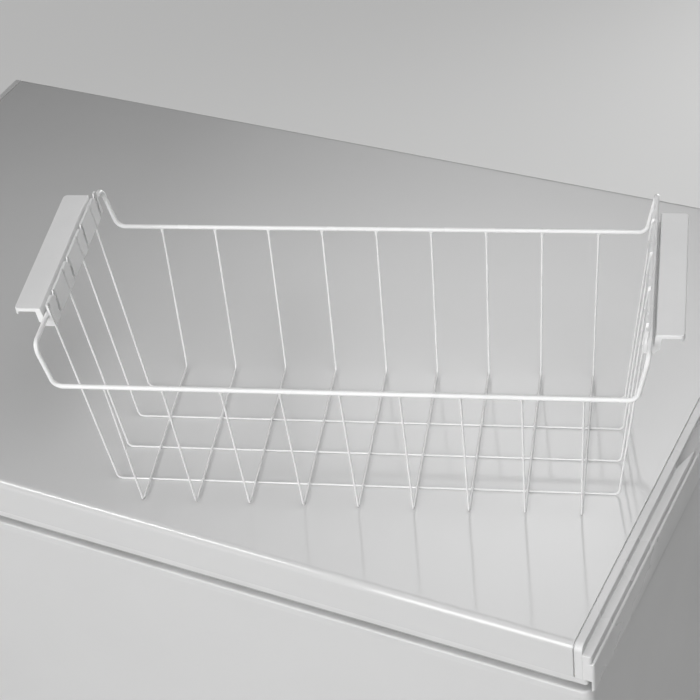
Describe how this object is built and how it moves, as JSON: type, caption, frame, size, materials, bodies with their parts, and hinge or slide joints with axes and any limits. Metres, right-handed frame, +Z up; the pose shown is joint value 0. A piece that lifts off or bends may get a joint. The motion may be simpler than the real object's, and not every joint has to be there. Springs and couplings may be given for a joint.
{
  "type": "chest freezer",
  "caption": "White chest freezer with a hinged lid, scooped end grips, a stepped inner tank and a wire basket with end hangers standing on the closed lid.",
  "frame": {"origin": "on the floor, at the middle of the bounding box of the freezer with the basket on its lid", "axes": "+X to the right-hand end, which holds the machine bay; +Y to the hinged back; +Z up"},
  "size_m": [0.9674, 0.6482, 1.0542],
  "materials": {
    "white_enamel": "gloss",
    "lid_enamel": "gloss",
    "white_trim": "satin",
    "collar_plastic": "satin",
    "tank_aluminium": "satin",
    "tube_aluminium": "satin",
    "zinc_steel": "satin",
    "black_enamel": "satin",
    "copper": "satin",
    "foam": "matte",
    "gasket_grey": "matte",
    "black_rubber": "matte",
    "dark_plastic": "matte",
    "grey_plastic": "satin",
    "white_plastic": "satin",
    "basket_coating": "satin",
    "hinge_enamel": "satin",
    "screw_steel": "satin",
    "green_lens": "gloss",
    "yellow_lens": "gloss",
    "red_lens": "gloss"
  },
  "bodies": {
    "cabinet": {"front_panel": "white_enamel", "left_side_panel": "white_enamel", "right_side_panel": "white_enamel", "back_panel": "white_enamel", "base_pan": "zinc_steel", "compressor_tray": "zinc_steel", "top_frame": "collar_plastic", "liner_wrap": "tank_aluminium", "liner_floor": "tank_aluminium", "insulation_foam": "foam", "condenser_tube": "zinc_steel", "evaporator_tube": "tube_aluminium", "drain_tube": "white_plastic", "compressor_lower_shell": "black_enamel", "compressor_upper_shell": "black_enamel", "compressor_foot_plate": "black_enamel", "compressor_grommets": "black_rubber", "compressor_bolts": "zinc_steel", "terminal_cover": "dark_plastic", "discharge_pipe": "copper", "suction_pipe": "copper", "capillary_tube": "copper", "filter_drier": "copper", "compressor_bay_cover": "zinc_steel", "side_vent_grille": "white_trim", "cord_gland": "dark_plastic", "control_bezel": "grey_plastic", "thermostat_body": "dark_plastic", "switch_housing": "dark_plastic", "power_lamp": "green_lens", "fast_freeze_lamp": "yellow_lens", "alarm_lamp": "red_lens", "front_feet": "dark_plastic", "roller_brackets": "zinc_steel", "roller_axles": "zinc_steel", "hinge_brackets": "hinge_enamel", "hinge_pins": "screw_steel", "cabinet_hinge_screws": "screw_steel"},
    "lid": {"lid_skin": "lid_enamel", "lid_end_cap_left": "white_trim", "lid_end_cap_right": "white_trim", "lid_foam": "foam", "lid_liner": "white_plastic", "lid_gasket": "gasket_grey", "hinge_leaves": "hinge_enamel", "hinge_bushes": "dark_plastic", "lid_hinge_screws": "screw_steel"},
    "basket": {"basket_rim": "basket_coating", "basket_cross_wires": "basket_coating", "basket_long_wires": "basket_coating", "basket_hanger_left": "white_plastic", "basket_hanger_right": "white_plastic"},
    "thermostat": {"thermostat_knob": "white_plastic", "thermostat_shaft": "zinc_steel"},
    "rocker": {"fast_freeze_rocker": "white_plastic"},
    "drain_cap": {"drain_cap": "white_plastic"},
    "drain_plug": {"drain_plug": "white_plastic"},
    "left_roller": {"left_roller": "dark_plastic"},
    "right_roller": {"right_roller": "dark_plastic"}
  },
  "joints": [
    {"name": "lid_hinge", "type": "hinge", "parent": "cabinet", "child": "lid", "pos_m": [-0.00863, 0.31615, 0.803], "axis": [-1, 0, 0], "range_deg": [0, 75]},
    {"name": "basket_lift", "type": "slide", "parent": "lid", "child": "basket", "axis": [0, 0, 1], "range_m": [0, 0.3]},
    {"name": "thermostat_turn", "type": "hinge", "parent": "cabinet", "child": "thermostat", "pos_m": [0.40387, -0.32415, 0.14], "axis": [0, 1, 0], "range_deg": [0, 270]},
    {"name": "fast_freeze_rock", "type": "hinge", "parent": "cabinet", "child": "rocker", "pos_m": [0.34887, -0.30535, 0.14], "axis": [1, 0, 0], "range_deg": [0, 16]},
    {"name": "drain_cap_pull", "type": "slide", "parent": "cabinet", "child": "drain_cap", "axis": [0, -1, 0], "range_m": [0, 0.03]},
    {"name": "drain_plug_pull", "type": "slide", "parent": "cabinet", "child": "drain_plug", "axis": [0, 0, 1], "range_m": [0, 0.05]},
    {"name": "left_roller_spin", "type": "hinge", "parent": "cabinet", "child": "left_roller", "pos_m": [-0.43613, 0.25515, 0.014], "axis": [1, 0, 0], "continuous": true},
    {"name": "right_roller_spin", "type": "hinge", "parent": "cabinet", "child": "right_roller", "pos_m": [0.41887, 0.25515, 0.014], "axis": [1, 0, 0], "continuous": true}
  ]
}
